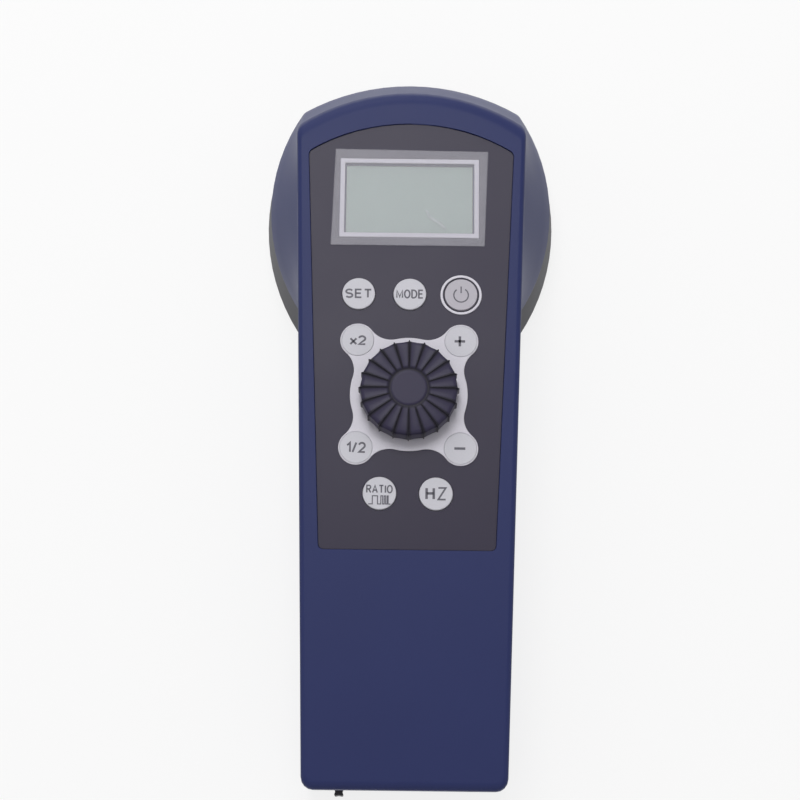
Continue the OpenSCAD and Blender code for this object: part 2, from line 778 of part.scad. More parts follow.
module display_window() {
    color([0.8, 0.85, 0.85, 0.4]) block(display_at, [window_w, window_h, window_t], floor_z - window_t);
}

bezel_x = 2.5;
bezel_y = 4;
glass_t = 1.6;
glass_z = floor_z - window_t - 0.1 - glass_t;
module display_glass() {
    color([0.66, 0.69, 0.67]) block(display_at, [window_w - 2.4, window_h - 2.4, glass_t], glass_z);
}

module display_module() {
    color([0.5, 0.5, 0.52]) difference() {
        block(display_at, [window_w + 2*bezel_x, window_h + 2*bezel_y, under_z - 0.2 - board_top],
            board_top);
        block(display_at, [window_w - 2.1, window_h - 2.1, glass_t + cut], glass_z);
    }
}

module screen_film() {
    color([0.75, 0.75, 0.8, 0.4]) translate([-display_left, display_y + 0.3, floor_z + overlay_t + 0.15])
        rotate([0, 0, film_turn]) block([0, 0], [film_w, film_h, 0.12], 0);
}

// Panel

module panel_overlay() {
    color(charcoal) difference() {
        prism(outline(panel_path, gap), floor_z, overlay_z);
        block(display_at, [frame_w + 2*gap, frame_h + 2*gap, 4], floor_z - cut);
        for (p = plain_keys) rod(p, key_d + 2*gap, floor_z - cut, overlay_z + cut);
        for (p = lobe_keys) rod(p, lobe_key_d + 2*gap, floor_z - cut, overlay_z + cut);
        rod([0, dial_y], bush_d + 6, floor_z - cut, overlay_z + cut);
    }
}

// A round plate with four lobes, joined by hollows that touch both.
module surround_shape() {
    arm = norm([lobe_dx, lobe_dy]);
    r = surround_d/2;
    lobe_r = lobe_d/2;
    reach = r + lobe_blend_r;
    spread = acos((reach*reach + arm*arm - pow(lobe_r + lobe_blend_r, 2))/(2*reach*arm));
    lobe_a = atan2(lobe_dy, lobe_dx);
    difference() {
        union() {
            circle(r = r);
            for (sx = [-1, 1], sy = [-1, 1]) scale([sx, sy]) {
                translate([lobe_dx, lobe_dy]) circle(r = lobe_r);
                polygon([[0, 0], reach*[cos(lobe_a - spread), sin(lobe_a - spread)],
                    [lobe_dx, lobe_dy], reach*[cos(lobe_a + spread), sin(lobe_a + spread)]]);
            }
        }
        for (sx = [-1, 1], sy = [-1, 1], t = [-1, 1])
            translate([sx*reach*cos(lobe_a + t*spread), sy*reach*sin(lobe_a + t*spread)])
                circle(r = lobe_blend_r);
        for (p = lobe_keys) translate(p - [0, dial_y]) circle(d = lobe_key_d + 2*run);
        circle(d = bush_d + 6);
    }
}

module dial_surround() {
    color(ivory) translate([0, dial_y, overlay_z]) linear_extrude(surround_t) surround_shape();
}

module power_ring() {
    color(ivory) difference() {
        rod(power_at, power_ring_d, overlay_z, overlay_z + surround_t);
        rod(power_at, power_ring_d - 1.7, overlay_z - cut, overlay_z + cut);
    }
}

// Keys: a cap that rises through the panel, a flange that holds it in, and a stem in its switch.
module key(p, d, top, soft = 0.3) {
    flange_z = under_z - 0.1 - 1;
    color(ivory) translate([p.x, p.y, 0]) rotate_extrude() polygon([
        [0, board_top + 1 + key_travel + 0.2], [stem_d/2, board_top + 1 + key_travel + 0.2],
        [stem_d/2, flange_z], [d/2 + key_flange, flange_z], [d/2 + key_flange, flange_z + 1],
        [d/2, flange_z + 1], [d/2, top - soft], [d/2 - soft*0.3, top - soft*0.3],
        [d/2 - soft, top], [0, top]]);
}

module set_key() { key(set_at, key_d, overlay_z + key_proud); }
module mode_key() { key(mode_at, key_d, overlay_z + key_proud); }
module power_key() { key(power_at, key_d, overlay_z + key_proud); }
module ratio_key() { key(ratio_at, key_d, overlay_z + key_proud); }
module hertz_key() { key(hertz_at, key_d, overlay_z + key_proud); }
module double_key() { key(double_at, lobe_key_d, surround_z + 0.06, 0.1); }
module half_key() { key(half_at, lobe_key_d, surround_z + 0.06, 0.1); }
module plus_key() { key(plus_at, lobe_key_d, surround_z + 0.06, 0.1); }
module minus_key() { key(minus_at, lobe_key_d, surround_z + 0.06, 0.1); }

// Dial

// Places across one flute, from 0 on its ridge towards 1 on the next, close together by the ridges.
flute_at = [0, 0.05, 0.12, 0.28, 0.5, 0.72, 0.88, 0.95];
// How far each place lies below the ridges, from 0 on a ridge to 1 in mid flute.
dips = [for (f = flute_at) pow(sin(180*f), 0.4)];
// A ring of the fluted dial: a ridge radius and height, and how far the flutes cut into each.
function fluted(r, z, cut_r, cut_z) = [for (k = [0:flutes - 1], i = [0:len(dips) - 1])
    let (a = 90 + 360*(k + flute_at[i])/flutes, q = r - cut_r*dips[i])
    [q*cos(a), q*sin(a), z - cut_z*dips[i]]];

module dial_knob() {
    r = dial_d/2;
    groove_r = disc_d/2 + 0.7;
    groove_z = knob_top - 1.3;
    top = knob_top;
    color(black) difference() {
        translate([0, dial_y, 0]) union() {
            shell([
                fluted(r - flute_depth - 0.4, knob_z, 0, 0),
                fluted(r, knob_z + 0.4, flute_depth, 0),
                fluted(r, top - 1.9, flute_depth, 0),
                fluted(r - 0.3, top - 1, flute_depth, 0.2),
                fluted(r - 0.9, top - 0.3, flute_depth*0.9, 0.4),
                fluted(r - 1.8, top, 0.4, flute_depth*0.6),
                fluted(groove_r + 3, top, 0, flute_depth*0.5),
                fluted(groove_r + 0.1, top - 0.1, 0, flute_depth*0.4),
                fluted(groove_r, groove_z, 0, 0)]);
            translate([0, 0, groove_z - 1]) cylinder(d = disc_d, h = 1.7);
        }
        difference() {
            rod([0, dial_y], dial_d - 8, knob_z - cut, knob_top - 3.4);
            rod([0, dial_y], shaft_d + 4, nut_z + 3.6, knob_top);
        }
        rod([0, dial_y], shaft_d, knob_z - cut, knob_top - 2.4);
    }
}

module dial_shaft() {
    color([0.75, 0.75, 0.77]) rod([0, dial_y], shaft_d, board_top + 1.4, knob_top - 2.4);
}

// Battery

module battery_tray() {
    color(black) difference() {
        block([0, tray_y + tray_len/2], [tray_w, tray_len, tray_top - wall], wall);
        block([0, tray_y + tray_len/2], [tray_in_w, tray_in_len, tray_top - wall - 1 + cut], wall - cut);
    }
}

module battery_cells() {
    nub = 1;
    color([0.55, 0.57, 0.6]) for (c = [-1:1], l = [0:1])
        translate([c*cell_pitch, tray_y + tray_wall + contact_room/2, cells_z + cell_pitch*(l + 0.5)])
            rotate([-90, 0, 0]) union() {
                cylinder(d = cell_d, h = cell_len - nub);
                cylinder(d = 5.4, h = cell_len);
            }
}

module battery_contacts() {
    y0 = tray_y + tray_wall;
    color([0.8, 0.8, 0.78]) for (c = [-1:1], l = [0:1])
        translate([c*cell_pitch, y0, cells_z + cell_pitch*(l + 0.5)]) rotate([-90, 0, 0]) {
            cylinder(d = 9, h = 0.4);
            cylinder(d1 = 7, d2 = 4.6, h = contact_room/2);
            translate([0, 0, tray_in_len - 0.4]) cylinder(d = 9, h = 0.4);
            translate([0, 0, tray_in_len - contact_room/2]) cylinder(d = 5, h = contact_room/2);
        }
}

// Fasteners and fittings

drive_w = 3;
drive_t = 0.6;
drive_z = 0.7;
case_bite = 10;
rim_bite = 6;
board_head_h = 1.3;
board_bite = 4;
module drive(p) {
    block(p, [drive_w, drive_t, cut], head_z - cut + drive_z);
    block(p, [drive_t, drive_w, cut], head_z - cut + drive_z);
}

module screw(p, d, head, z0, len) {
    rod(p, head, z0, z0 + head_h);
    rod(p, d, z0, z0 + len);
}

module case_screws() {
    color([0.35, 0.35, 0.37]) for (p = bosses) difference() {
        screw(p, screw_d - 0.5, head_d, head_z, seam_z + case_bite - head_z);
        drive(p);
    }
}

module rim_screws() {
    color([0.35, 0.35, 0.37]) for (p = rim_bosses) difference() {
        screw(p, screw_d - 0.5, head_d, head_z, seam_z + rim_bite - head_z);
        drive(p);
    }
}

module board_screws() {
    color([0.6, 0.6, 0.62]) for (p = board_posts) {
        rod(p, board_head_d, board_z - board_head_h, board_z);
        rod(p, board_screw_d - 0.4, board_z - board_head_h/2, board_top + board_bite);
    }
    color([0.6, 0.6, 0.62]) for (p = flash_posts) {
        rod(p, board_head_d, part_z, part_z + board_head_h);
        rod(p, board_screw_d - 0.4, flash_board_z - board_bite - 1, part_z + board_head_h/2);
    }
}

module tripod_insert() {
    color([0.72, 0.6, 0.3]) difference() {
        rod([0, tripod_y], insert_d, 0.3, wall/2 + tripod_depth);
        rod([0, tripod_y], tripod_bore_d, -cut, tripod_depth);
    }
}

module strap_lug() {
    tip = 1.5;
    neck = 1.15;
    color(black) translate([lug_x, end_at(lug_z), lug_z - lug_h/2]) union() {
        linear_extrude(lug_h) polygon([
            [-lug_w/2, wall + 0.5], [-lug_w/2, 0], [-neck, -lug_len*0.3], [-tip, 0.4 - lug_len],
            [-tip + 0.3, -lug_len], [0, 0.2 - lug_len], [tip - 0.3, -lug_len], [tip, 0.4 - lug_len],
            [neck, -lug_len*0.3], [lug_w/2, 0], [lug_w/2, wall + 0.5]]);
        translate([-3, wall + 0.5, -1]) cube([6, 1.2, lug_h + 2]);
    }
}

front_shell();
rear_shell();
panel_overlay();
dial_surround();
power_ring();
display_frame();
display_window();
display_glass();
display_module();
screen_film();
lamp_rim();
lamp_lens();
lens_seal();
reflector();
tube_socket();
flash_tube();
lamp_leads();
flash_board();
flash_capacitor();
step_up_transformer();
trigger_coil();
main_board();
control_chip();
key_switches();
dial_encoder();
encoder_nut();
trigger_socket();
battery_tray();
battery_cells();
battery_contacts();
tripod_insert();
strap_lug();
case_screws();
rim_screws();
board_screws();
battery_cover();
dial_knob();
dial_shaft();
set_key();
mode_key();
power_key();
double_key();
half_key();
plus_key();
minus_key();
ratio_key();
hertz_key();
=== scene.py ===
# %% [markdown]
# # A handheld stroboscope tachometer
# The instrument lies on its back on a white table, with its panel up and its lamp head away from
# us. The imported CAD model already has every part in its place, in metres. This notebook gives
# those parts their finish, and adds what a drawing leaves out: the soft edges of moulded plastic,
# the printed words on the keys, the film over the display and the studio round it all.

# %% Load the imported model
import json
import math
import bpy
import bmesh
from mathutils import Matrix, Vector
from mathutils.bvhtree import BVHTree

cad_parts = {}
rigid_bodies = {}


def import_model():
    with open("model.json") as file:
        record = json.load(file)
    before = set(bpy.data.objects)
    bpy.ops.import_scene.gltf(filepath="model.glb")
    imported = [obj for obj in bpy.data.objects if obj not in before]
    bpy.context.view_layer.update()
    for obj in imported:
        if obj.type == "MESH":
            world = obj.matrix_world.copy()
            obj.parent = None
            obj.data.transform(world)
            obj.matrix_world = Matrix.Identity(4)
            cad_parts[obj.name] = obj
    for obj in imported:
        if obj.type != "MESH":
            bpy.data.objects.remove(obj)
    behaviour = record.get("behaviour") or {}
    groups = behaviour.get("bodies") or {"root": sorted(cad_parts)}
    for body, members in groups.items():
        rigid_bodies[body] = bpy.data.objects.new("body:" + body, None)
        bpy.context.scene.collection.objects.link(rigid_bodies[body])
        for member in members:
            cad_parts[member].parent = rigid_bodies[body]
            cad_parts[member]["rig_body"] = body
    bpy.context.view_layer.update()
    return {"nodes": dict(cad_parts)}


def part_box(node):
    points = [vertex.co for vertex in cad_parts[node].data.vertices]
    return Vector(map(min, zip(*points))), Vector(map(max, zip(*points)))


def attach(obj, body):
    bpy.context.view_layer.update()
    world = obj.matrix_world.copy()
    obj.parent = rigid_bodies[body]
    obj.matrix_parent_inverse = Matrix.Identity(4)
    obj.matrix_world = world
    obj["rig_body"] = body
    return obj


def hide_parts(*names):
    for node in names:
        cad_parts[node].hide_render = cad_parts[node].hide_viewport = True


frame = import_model()
nodes = frame["nodes"]
MM = 0.001

# %% [markdown]
# ## The camera
# A product shot like this one is taken from above with a long lens, so that the handle's sides
# stay almost parallel. The camera stands 0.72 m from the panel, leans 16 degrees towards the
# handle's end, and has a 97 mm lens. A wide lens from nearer by would make the head look small
# and the handle large. The picture is turned by 0.7 degrees, as hand-held pictures are. A camera
# looks along its own -Z, so its three axes are worked out and set as one matrix.

# %% The camera
LENS_MM = 97.2
SENSOR_MM = 36.0
DISTANCE = 720 * MM
LEAN = math.radians(16)
ROLL = math.radians(0.7)
look_at = Vector((-2.9, 1.05, 44.0)) * MM

forward = Vector((0, math.sin(LEAN), -math.cos(LEAN)))
right = Vector((1, 0, 0))
up = right.cross(forward)
right_rolled = right * math.cos(ROLL) + up * math.sin(ROLL)
up_rolled = up * math.cos(ROLL) - right * math.sin(ROLL)
camera = bpy.data.objects.new("camera", bpy.data.cameras.new("camera"))
camera.data.lens, camera.data.sensor_width = LENS_MM, SENSOR_MM
camera.data.clip_start, camera.data.clip_end = 0.01, 20
turn = Matrix((right_rolled, up_rolled, -forward)).transposed().to_4x4()
camera.matrix_world = Matrix.Translation(look_at - forward * DISTANCE) @ turn
bpy.context.scene.collection.objects.link(camera)
bpy.context.scene.camera = camera
print("camera at", [round(c, 3) for c in camera.matrix_world.translation])

# %% [markdown]
# ## Three helpers for materials
# Colours are written as the sRGB hex codes that a paint program shows, but a renderer adds and
# multiplies light, so it needs linear values. The first function turns one into the other, along
# the sRGB curve with its straight foot. The second adds a shader node: its settings are given by
# name, and its inputs by socket, each with either a value or the output that feeds it. The third
# starts a material with an empty node tree.

# %% Colour and node helpers
NAVY = "#2d345f"
COLOUR_A, COLOUR_B, COLOUR_OUT = 6, 7, 2    # The sockets of a Mix node that mixes colours.


def linear(code):
    channels = [int(code[i:i + 2], 16) / 255 for i in (1, 3, 5)]
    return [c / 12.92 if c <= 0.04045 else ((c + 0.055) / 1.055) ** 2.4 for c in channels] + [1.0]


def add(tree, kind, inputs=None, **settings):
    made = tree.nodes.new(kind)
    for name, value in settings.items():
        setattr(made, name, value)
    for socket, value in (inputs or {}).items():
        if isinstance(value, bpy.types.NodeSocket):
            tree.links.new(value, made.inputs[socket])
        else:
            made.inputs[socket].default_value = value
    return made


def new_material(name):
    material = bpy.data.materials.new(name)
    material.use_nodes = True
    material.node_tree.nodes.clear()
    return material, material.node_tree


print("navy", [round(c, 3) for c in linear(NAVY)])

# %% [markdown]
# ## Moulded plastic
# Most of what shows is injection-moulded ABS. Its mould is lightly spark-eroded, which leaves a
# grain that breaks up reflections. The real grain is about 0.1 mm wide, too fine to show at three
# pixels to the millimetre, so it is drawn 0.45 mm wide. The colour runs right through the plastic
# and varies only a little, over some 38 mm, where the melt flowed or hands have polished it. The
# function builds all moulded and printed surfaces: a slow stain in the colour, a patchy roughness,
# a grain in the bump, and a bevel that rounds the shading of the sharpest edges. The plastics
# differ only in their numbers. An image of real grain would tile and would need a file, and noise
# does neither. ABS bends light by 1.53, and a satin skin of it glints a little less: hence 1.46.

# %% The recipe of a moulded surface
PLASTIC_IOR = 1.46
FLOW_MM = 38
SPECKLE = 0.06


# In millimetres: the grain's width and depth, and the radius to which edges are shaded.
def moulded(name, colour, roughness, grain_mm=0.45, grain_depth_mm=0.012, stain=0.06,
            edge_mm=0.25, specular=0.5, painted_shade_colour=None):
    material, tree = new_material(name)
    place = add(tree, "ShaderNodeTexCoord").outputs["Object"]
    flow = add(tree, "ShaderNodeTexNoise", {"Vector": place, "Scale": 1 / (FLOW_MM * MM),
               "Detail": 3.0})
    grain = add(tree, "ShaderNodeTexNoise", {"Vector": place, "Scale": 1 / (grain_mm * MM),
                "Detail": 2.0, "Roughness": 0.6})
    lighter = [min(1, c * (1 + stain)) for c in linear(colour)[:3]] + [1]
    darker = [c * (1 - stain) for c in linear(colour)[:3]] + [1]
    tint = add(tree, "ShaderNodeMix", {"Factor": flow.outputs["Fac"], COLOUR_A: darker,
               COLOUR_B: lighter}, data_type="RGBA")
    # Painted shade: where the attribute rib is high, a darker colour is mixed in for shade.
    if painted_shade_colour:
        rib = add(tree, "ShaderNodeAttribute", attribute_name="rib")
        tint = add(tree, "ShaderNodeMix", {"Factor": rib.outputs["Fac"],
                   COLOUR_A: tint.outputs[COLOUR_OUT], COLOUR_B: linear(painted_shade_colour)}, data_type="RGBA")
    speckle = add(tree, "ShaderNodeMapRange", {"Value": grain.outputs["Fac"],
                  "To Min": 1 - SPECKLE, "To Max": 1 + SPECKLE})
    mixed = add(tree, "ShaderNodeVectorMath", {0: tint.outputs[COLOUR_OUT],
                1: speckle.outputs["Result"]}, operation="MULTIPLY")
    patchy = add(tree, "ShaderNodeMapRange", {"Value": flow.outputs["Fac"],
                 "To Min": roughness - 0.04, "To Max": roughness + 0.05})
    rounded = add(tree, "ShaderNodeBevel", {"Radius": edge_mm * MM}, samples=4)
    bump = add(tree, "ShaderNodeBump", {"Height": grain.outputs["Fac"], "Strength": 0.6,
               "Distance": grain_depth_mm * MM, "Normal": rounded.outputs["Normal"]})
    shader = add(tree, "ShaderNodeBsdfPrincipled", {
        "Base Color": mixed.outputs["Vector"], "Roughness": patchy.outputs["Result"],
        "IOR": PLASTIC_IOR, "Specular IOR Level": specular, "Normal": bump.outputs["Normal"]})
    add(tree, "ShaderNodeOutputMaterial", {"Surface": shader.outputs["BSDF"]})
    return material


# %% [markdown]
# The housing is navy ABS with a satin grain, and the lamp rim and the small fittings are grey
# and black ABS. The panel is a printed polycarbonate film, dark and finer in grain. The keys,
# the dial's surround and the display's frame are off-white, with a faint violet cast from the
# light, and the power key is a little greyer. The dial is as smooth as the housing. It is
# charcoal, with painted shade beside its ribs and in its groove, where shade falls.

# %% The plastics that show
navy_abs = moulded("navy moulded abs", NAVY, 0.38, specular=0.13)
grey_abs = moulded("grey moulded abs", "#4c4c50", 0.55, specular=0.3)
black_abs = moulded("black moulded abs", "#1d1c20", 0.45)
printed_overlay = moulded("printed polycarbonate overlay", "#272236", 0.38, grain_mm=0.3,
                          grain_depth_mm=0.006, stain=0.04, specular=0.26)
white_abs = moulded("off-white moulded abs", "#d2cfd9", 0.45, grain_depth_mm=0.004, stain=0.02)
key_silicone = moulded("off-white silicone rubber", "#c9c8d0", 0.55, grain_depth_mm=0.004,
                       stain=0.02, edge_mm=0.3)
power_silicone = moulded("greyer silicone rubber", "#b5b1ba", 0.55, grain_depth_mm=0.004,
                         stain=0.02, edge_mm=0.3)
# The dial's darker second colour is painted shade for its ribs and its groove.
dial_abs = moulded("charcoal dial abs", "#322e44", 0.38, grain_depth_mm=0.008, specular=0.18,
                   painted_shade_colour="#1c1a24")

# %% [markdown]
# Inside, the lens rests on foam rubber, the boards are glass laminate under green solder resist,
# the windings are taped, the leads have PVC insulation, and the capacitor and the cells wear
# shrink sleeves. The coarser grain of the first three stands for the foam's cells, the glass
# weave and the turns of tape.

# %% The plastics inside
seal_rubber = moulded("black foam rubber", "#141416", 0.9, grain_mm=0.8)
board_laminate = moulded("green solder-resist laminate", "#1c4a30", 0.4, grain_mm=1.2)
winding_tape = moulded("amber winding tape", "#b07f2c", 0.5, grain_mm=0.8)
red_insulation = moulded("red pvc insulation", "#9a1f1a", 0.4)
blue_sleeve = moulded("blue shrink sleeve", "#27345f", 0.3)
cell_sleeve = moulded("grey shrink sleeve", "#7c8087", 0.3)
print("plastics", len(bpy.data.materials))

# %% [markdown]
# ## Metals
# The screws and shaft are plated steel with turning marks, the tripod insert is turned brass, and
# the reflector is aluminium vapour-plated on plastic. A metal's colour goes in the base colour
# and its metallic is 1. Turning leaves rings round the axis. The real ones are finer than a pixel
# and only blur the reflection, so they are drawn as bands in height, 2.5 mm apart, that change
# the roughness. Blender's wave goes round once in 2 pi / 20 of the length that its scale names.

# %% The metals
MARK_SPACING = 2.5 * MM
WAVE_SCALE = 2 * math.pi / (20 * MARK_SPACING)


def turned_metal(name, colour, roughness):
    material, tree = new_material(name)
    place = add(tree, "ShaderNodeTexCoord").outputs["Object"]
    marks = add(tree, "ShaderNodeTexWave", {"Vector": place, "Scale": WAVE_SCALE,
                "Distortion": 1.5, "Detail": 2.0}, bands_direction="Z")
    smear = add(tree, "ShaderNodeMapRange", {"Value": marks.outputs["Fac"],
                "To Min": roughness - 0.05, "To Max": roughness + 0.1})
    rounded = add(tree, "ShaderNodeBevel", {"Radius": 0.15 * MM}, samples=4)
    shader = add(tree, "ShaderNodeBsdfPrincipled", {
        "Base Color": linear(colour), "Metallic": 1.0, "Roughness": smear.outputs["Result"],
        "Normal": rounded.outputs["Normal"]})
    add(tree, "ShaderNodeOutputMaterial", {"Surface": shader.outputs["BSDF"]})
    return material


plated_steel = turned_metal("nickel-plated steel", "#b4b4b8", 0.28)
turned_brass = turned_metal("turned brass", "#c9a25a", 0.25)
bright_aluminium = turned_metal("vapour-plated aluminium", "#dfe1e6", 0.12)
print("metals", [m.name for m in (plated_steel, turned_brass, bright_aluminium)])

# %% [markdown]
# ## Clear pieces
# The display's window is clear acrylic and the lamp's lens is clear polycarbonate. Full glass
# would need many light paths to light what lies behind it, so thin sheets are drawn as a mostly
# transparent surface that keeps its gloss. Wiping leaves a faint haze in patches of about 12 mm.

# %% The clear pieces
CLEAR_IOR = 1.49
WIPE_MM = 12


def clear_sheet(name, colour, alpha, roughness):
    material, tree = new_material(name)
    place = add(tree, "ShaderNodeTexCoord").outputs["Object"]
    wipe = add(tree, "ShaderNodeTexNoise", {"Vector": place, "Scale": 1 / (WIPE_MM * MM),
               "Detail": 4.0})
    haze = add(tree, "ShaderNodeMapRange", {"Value": wipe.outputs["Fac"],
               "To Min": roughness, "To Max": roughness + 0.08})
    shader = add(tree, "ShaderNodeBsdfPrincipled", {
        "Base Color": linear(colour), "Alpha": alpha, "Roughness": haze.outputs["Result"],
        "IOR": CLEAR_IOR})
    add(tree, "ShaderNodeOutputMaterial", {"Surface": shader.outputs["BSDF"]})
    return material


clear_acrylic = clear_sheet("clear acrylic window", "#e8ecec", 0.06, 0.08)
clear_polycarbonate = clear_sheet("clear polycarbonate lens", "#e4ebf2", 0.12, 0.05)
clear_quartz = clear_sheet("quartz flash tube", "#f0f2f6", 0.35, 0.05)

# %% [markdown]
# The liquid crystal glass has a pale grey-green polariser in front of a foil. It is a stretched
# and dyed film, so it is never perfectly even: two greens that differ by a hair are mixed by a
# slow noise. The display is off, so nothing is written on it.

# %% The display's polariser
CLOUD_MM = 22
polariser, tree = new_material("grey-green polariser")
place = add(tree, "ShaderNodeTexCoord").outputs["Object"]
cloud = add(tree, "ShaderNodeTexNoise", {"Vector": place, "Scale": 1 / (CLOUD_MM * MM),
            "Detail": 2.0})
cast = add(tree, "ShaderNodeMix", {"Factor": cloud.outputs["Fac"], COLOUR_A: linear("#97b5a6"),
           COLOUR_B: linear("#9bb9a9")}, data_type="RGBA")
shader = add(tree, "ShaderNodeBsdfPrincipled", {"Base Color": cast.outputs[COLOUR_OUT],
             "Roughness": 0.35, "IOR": 1.5})
add(tree, "ShaderNodeOutputMaterial", {"Surface": shader.outputs["BSDF"]})
print("materials", len(bpy.data.materials))

# %% [markdown]
# ## The parting line
# Where the two shells meet, a real case shows a parting line, because the mould's edges are
# broken so that they don't cut the hand. The outer edges at the seam are bevelled by 0.2 mm on
# both shells. An edge at the seam lies between a wall and a flat rim, and it is an outer one if a
# ray from the wall beside it, straight out, meets nothing. The side is 1 for the shell above the
# seam and -1 for the one below it.

# %% The parting line
SEAM_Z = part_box("front_shell")[0].z
SEAM_BREAK = 0.2 * MM
SEAM_TOLERANCE = 0.005 * MM
RAY_OUT = 0.1 * MM
RAY_ALONG = 1 * MM


def break_seam(form, side):
    solid = BVHTree.FromBMesh(form)
    outer = []
    for edge in form.edges:
        walls = [f for f in edge.link_faces if abs(f.normal.z) < 0.5]
        if len(walls) != 1 or any(abs(v.co.z - SEAM_Z) > SEAM_TOLERANCE for v in edge.verts):
            continue
        out = walls[0].normal
        middle = (edge.verts[0].co + edge.verts[1].co) / 2
        start = middle + out * RAY_OUT + Vector((0, 0, side * RAY_ALONG))
        if solid.ray_cast(start, out)[0] is None:
            outer.append(edge)
    bmesh.ops.bevel(form, geom=outer, offset=SEAM_BREAK, offset_type="OFFSET", segments=1,
                    profile=0.5, affect="EDGES", clamp_overlap=True)
    print("seam edges", len(outer), "open edges", sum(not e.is_manifold for e in form.edges))


# %% [markdown]
# ## Making and finishing a piece
# Every new piece goes the same way: a mesh is built in memory, becomes an object, gets its
# material, and rides on the body of the CAD part that it stands for or lies on. Modifiers are
# applied as soon as they are set, so that the mesh holds the final form.


def piece_from(form, name):
    mesh = bpy.data.meshes.new(name)
    form.to_mesh(mesh)
    form.free()
    piece = bpy.data.objects.new(name, mesh)
    bpy.context.scene.collection.objects.link(piece)
    return piece


def apply_modifiers(piece):
    evaluated = piece.evaluated_get(bpy.context.evaluated_depsgraph_get())
    mesh = bpy.data.meshes.new_from_object(evaluated)
    piece.modifiers.clear()
    piece.data = mesh


def shade_smooth(piece, sharp_from=math.pi):
    for face in piece.data.polygons:
        face.use_smooth = True
    piece.data.set_sharp_from_angle(angle=sharp_from)


def finish_piece(piece, node, material):
    piece.data.materials.clear()
    piece.data.materials.append(material)
    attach(piece, nodes[node]["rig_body"])
    return piece


# %% [markdown]
# ## Soft forms from the CAD parts
# CAD parts arrive as flat triangles. Copying a part into a new object lets us weld its corners,
# merge its coplanar triangles and shade it smoothly across its curves, while edges sharper than
# 32 degrees stay crisp. Weighted normals keep the large faces flat next to small roundings.
# Small plain parts also get a true bevel, as a mould or a lathe would leave one. The new piece
# then replaces the CAD part and moves with the same body.

# %% Refine the CAD parts
WELD = 0.002 * MM
COPLANAR = math.radians(0.3)
CRISP = math.radians(32)


def refine(node, material, name, bevel_mm=0.0, seam_side=0):
    form = bmesh.new()
    form.from_mesh(nodes[node].data)
    bmesh.ops.remove_doubles(form, verts=form.verts, dist=WELD)
    bmesh.ops.dissolve_limit(form, angle_limit=COPLANAR, verts=form.verts, edges=form.edges)
    if seam_side:
        break_seam(form, seam_side)
    piece = piece_from(form, name)
    if bevel_mm:
        bevel = piece.modifiers.new("bevel", "BEVEL")
        bevel.width, bevel.segments = bevel_mm * MM, 2
        bevel.limit_method, bevel.angle_limit = "ANGLE", CRISP
        apply_modifiers(piece)
    shade_smooth(piece, CRISP)
    weigh = piece.modifiers.new("weigh", "WEIGHTED_NORMAL")
    weigh.keep_sharp = True
    apply_modifiers(piece)
    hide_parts(node)
    return finish_piece(piece, node, material)


refined = [
    refine("front_shell", navy_abs, "front_case", seam_side=1),
    refine("rear_shell", navy_abs, "rear_case", seam_side=-1),
    refine("battery_cover", navy_abs, "battery_door"),
    refine("lamp_rim", grey_abs, "lamp_bezel"),
    refine("panel_overlay", printed_overlay, "printed_panel"),
    refine("dial_surround", white_abs, "dial_plate", bevel_mm=0.12),
    refine("power_ring", white_abs, "power_key_ring", bevel_mm=0.12),
    refine("display_frame", white_abs, "display_border", bevel_mm=0.15),
    refine("strap_lug", black_abs, "strap_post", bevel_mm=0.15),
    refine("tripod_insert", turned_brass, "tripod_bush", bevel_mm=0.15),
    refine("case_screws", plated_steel, "case_screw_heads", bevel_mm=0.1),
    refine("rim_screws", plated_steel, "rim_screw_heads", bevel_mm=0.1),
    refine("reflector", bright_aluminium, "reflector_bowl"),
    refine("lamp_lens", clear_polycarbonate, "lamp_window", bevel_mm=0.3),
    refine("flash_tube", clear_quartz, "flash_lamp"),
]
for key in ("set", "mode", "power", "double", "half", "plus", "minus", "ratio", "hertz"):
    rubber = power_silicone if key == "power" else key_silicone
    refined.append(refine(key + "_key", rubber, key + "_button"))
print("refined", len(refined), "faces", sum(len(p.data.polygons) for p in refined))

# %% [markdown]
# ## Parts that keep their CAD form
# The rest sits inside the case, behind glass or deep in an opening. Its form is right as it is,
# so it only gets the finish of the real thing. A CAD part takes a new material in its own slots.

# %% Finish the inner parts
inner = {
    black_abs: ["control_chip", "key_switches", "trigger_socket", "battery_tray"],
    grey_abs: ["display_module", "tube_socket"],
    board_laminate: ["flash_board", "main_board"],
    winding_tape: ["step_up_transformer", "trigger_coil"],
    plated_steel: ["dial_encoder", "encoder_nut", "dial_shaft", "battery_contacts",
                   "board_screws"],
    clear_acrylic: ["display_window"],
    polariser: ["display_glass"],
    seal_rubber: ["lens_seal"],
    red_insulation: ["lamp_leads"],
    blue_sleeve: ["flash_capacitor"],
    cell_sleeve: ["battery_cells"],
}
for material, names in inner.items():
    for name in names:
        nodes[name].data.materials.clear()
        nodes[name].data.materials.append(material)
print("finished", sum(len(n) for n in inner.values()), "inner parts")

# %% [markdown]
# ## The dial
# The dial is turned with the thumb, and twenty thin ribs give it grip. They run up its skirt,
# over its shoulder and in to a groove round a flat disc. Here the skin is made as rings of
# points, each ring at its own radius and height, with the points close together at the ribs.
# Ribs cut with a modifier would need as many cutters and would meet the groove badly.
#
# Between two ribs the skin dips: a steep step beside each rib, and a wide shallow hollow. The
# dip is cut inward on the skirt. Over the shoulder it turns, until it is cut mostly downward.

# %% The flutes of the dial
dial_low, dial_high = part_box("dial_knob")
dial_centre = (dial_low + dial_high) / 2
DIAL_R = (dial_high.y - dial_low.y) / 2
DIAL_TOP = dial_high.z
RIBS = 20
RIB_DEPTH = 0.8 * MM
RIB_SHARE = 0.07
STEP_SHARE = 0.6
half_way = [0, 0.02, 0.04, 0.055, RIB_SHARE, 0.1, 0.16, 0.24, 0.33, 0.42, 0.5]
across = half_way + [1 - f for f in half_way[-2:0:-1]]


